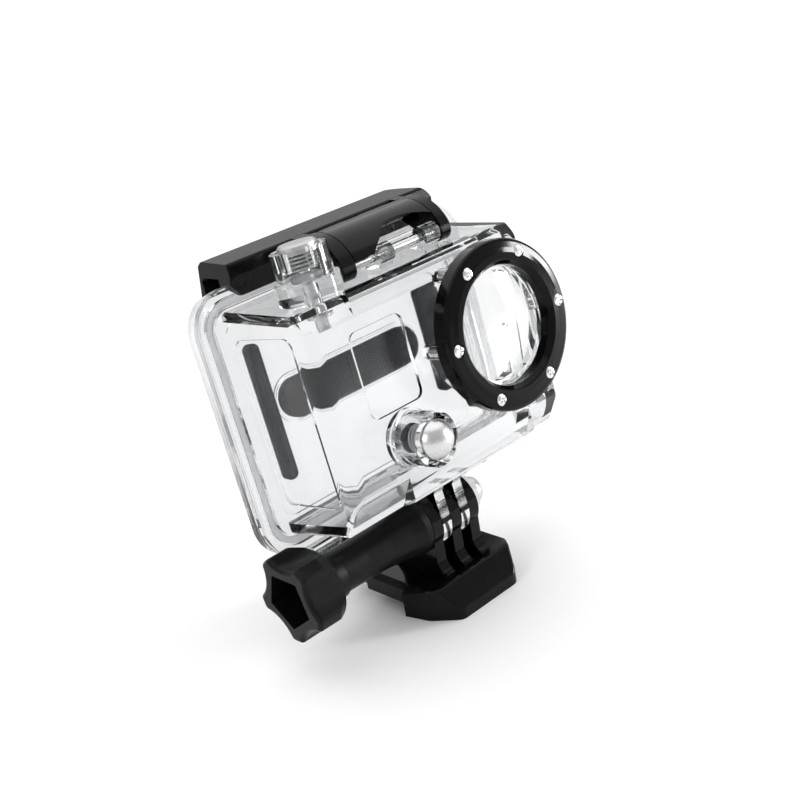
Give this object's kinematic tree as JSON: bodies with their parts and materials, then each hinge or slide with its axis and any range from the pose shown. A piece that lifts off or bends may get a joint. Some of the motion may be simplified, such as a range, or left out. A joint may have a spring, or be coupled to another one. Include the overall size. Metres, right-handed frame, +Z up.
{
  "type": "action camera housing",
  "caption": "Clear waterproof box with a round lens port, two push buttons, a top latch and a hinged rear door, on a pronged quick-release buckle with a thumb screw.",
  "frame": {"origin": "centre of the flat underside of the buckle's nose", "axes": "+Z up from the underside; -Y is the way the lens looks, apart from the housing's 9.5 degree lean back at rest; +X along the tilt axis, from the thumb knob towards the cap nut"},
  "size_m": [0.0882, 0.0529, 0.0958],
  "materials": {
    "clear_shell": "clear polished polycarbonate",
    "lens_glass": "clear, polished",
    "ring_black": "gloss",
    "screw_steel": "bright machined",
    "seal_rubber": "matt",
    "door_seal_rubber": "matt, near-white silicone",
    "button_steel": "polished",
    "stem_steel": "turned",
    "spring_steel": "drawn wire",
    "cap_grey": "satin",
    "latch_black": "satin",
    "lever_black": "semi-gloss",
    "pad_foam": "matt closed-cell foam",
    "buckle_black": "gloss nose, satin sides",
    "nut_steel": "polished",
    "knob_black": "satin"
  },
  "bodies": {
    "base": {"buckle": "buckle_black", "cap_nut": "nut_steel"},
    "thumb_screw": {"thumb_knob": "knob_black", "thumb_bolt": "stem_steel"},
    "housing": {"front_housing": "clear_shell", "lens_seal": "seal_rubber", "lens_glass": "lens_glass", "lens_ring": "ring_black", "lens_ring_screws": "screw_steel", "power_button_spring": "spring_steel", "power_button_oring": "seal_rubber", "shutter_button_spring": "spring_steel", "shutter_button_oring": "door_seal_rubber", "latch_arm_pin": "stem_steel", "door_hinge_pin": "stem_steel"},
    "power_button": {"power_button_dome": "button_steel", "power_button_stem": "stem_steel", "power_button_clip": "stem_steel"},
    "shutter_button": {"shutter_button_cap": "cap_grey", "shutter_button_stem": "stem_steel", "shutter_button_clip": "stem_steel"},
    "latch": {"latch_arm": "latch_black", "latch_lever_pin": "stem_steel"},
    "lever": {"latch_lever": "lever_black"},
    "door": {"rear_door": "clear_shell", "door_seal": "door_seal_rubber", "door_pad_left": "pad_foam", "door_pad_bar": "pad_foam", "door_pad_right": "pad_foam"}
  },
  "joints": [
    {"name": "tilt", "type": "hinge", "parent": "base", "child": "housing", "pos_m": [0, 0.008, 0.0205], "axis": [1, 0, 0], "range_deg": [-30, 60]},
    {"name": "thumb_screw_turn", "type": "hinge", "parent": "base", "child": "thumb_screw", "pos_m": [0, 0.008, 0.0205], "axis": [1, 0, 0], "continuous": true},
    {"name": "latch_swing", "type": "hinge", "parent": "housing", "child": "latch", "pos_m": [0, 0.01082, 0.08583], "axis": [1, 0, 0], "range_deg": [0, 80]},
    {"name": "lever_lift", "type": "hinge", "parent": "latch", "child": "lever", "pos_m": [0, 0.01932, 0.09059], "axis": [-1, 0, 0], "range_deg": [0, 50]},
    {"name": "door_swing", "type": "hinge", "parent": "housing", "child": "door", "pos_m": [0, 0.02012, 0.01989], "axis": [1, 0, 0], "range_deg": [-40, 0]},
    {"name": "shutter_press", "type": "slide", "parent": "housing", "child": "shutter_button", "axis": [0, -0.165, -0.9863], "range_m": [0, 0.0015], "stiffness_N_per_m": 600, "springref_m": -0.0015, "deforming": ["shutter_button_spring"]},
    {"name": "power_press", "type": "slide", "parent": "housing", "child": "power_button", "axis": [0, 0.9863, -0.165], "range_m": [0, 0.0015], "stiffness_N_per_m": 600, "springref_m": -0.0015, "deforming": ["power_button_spring"]}
  ],
  "couplings": [
    {"joint": "door_swing", "follows": "latch_swing", "ratio": -0.5}
  ]
}
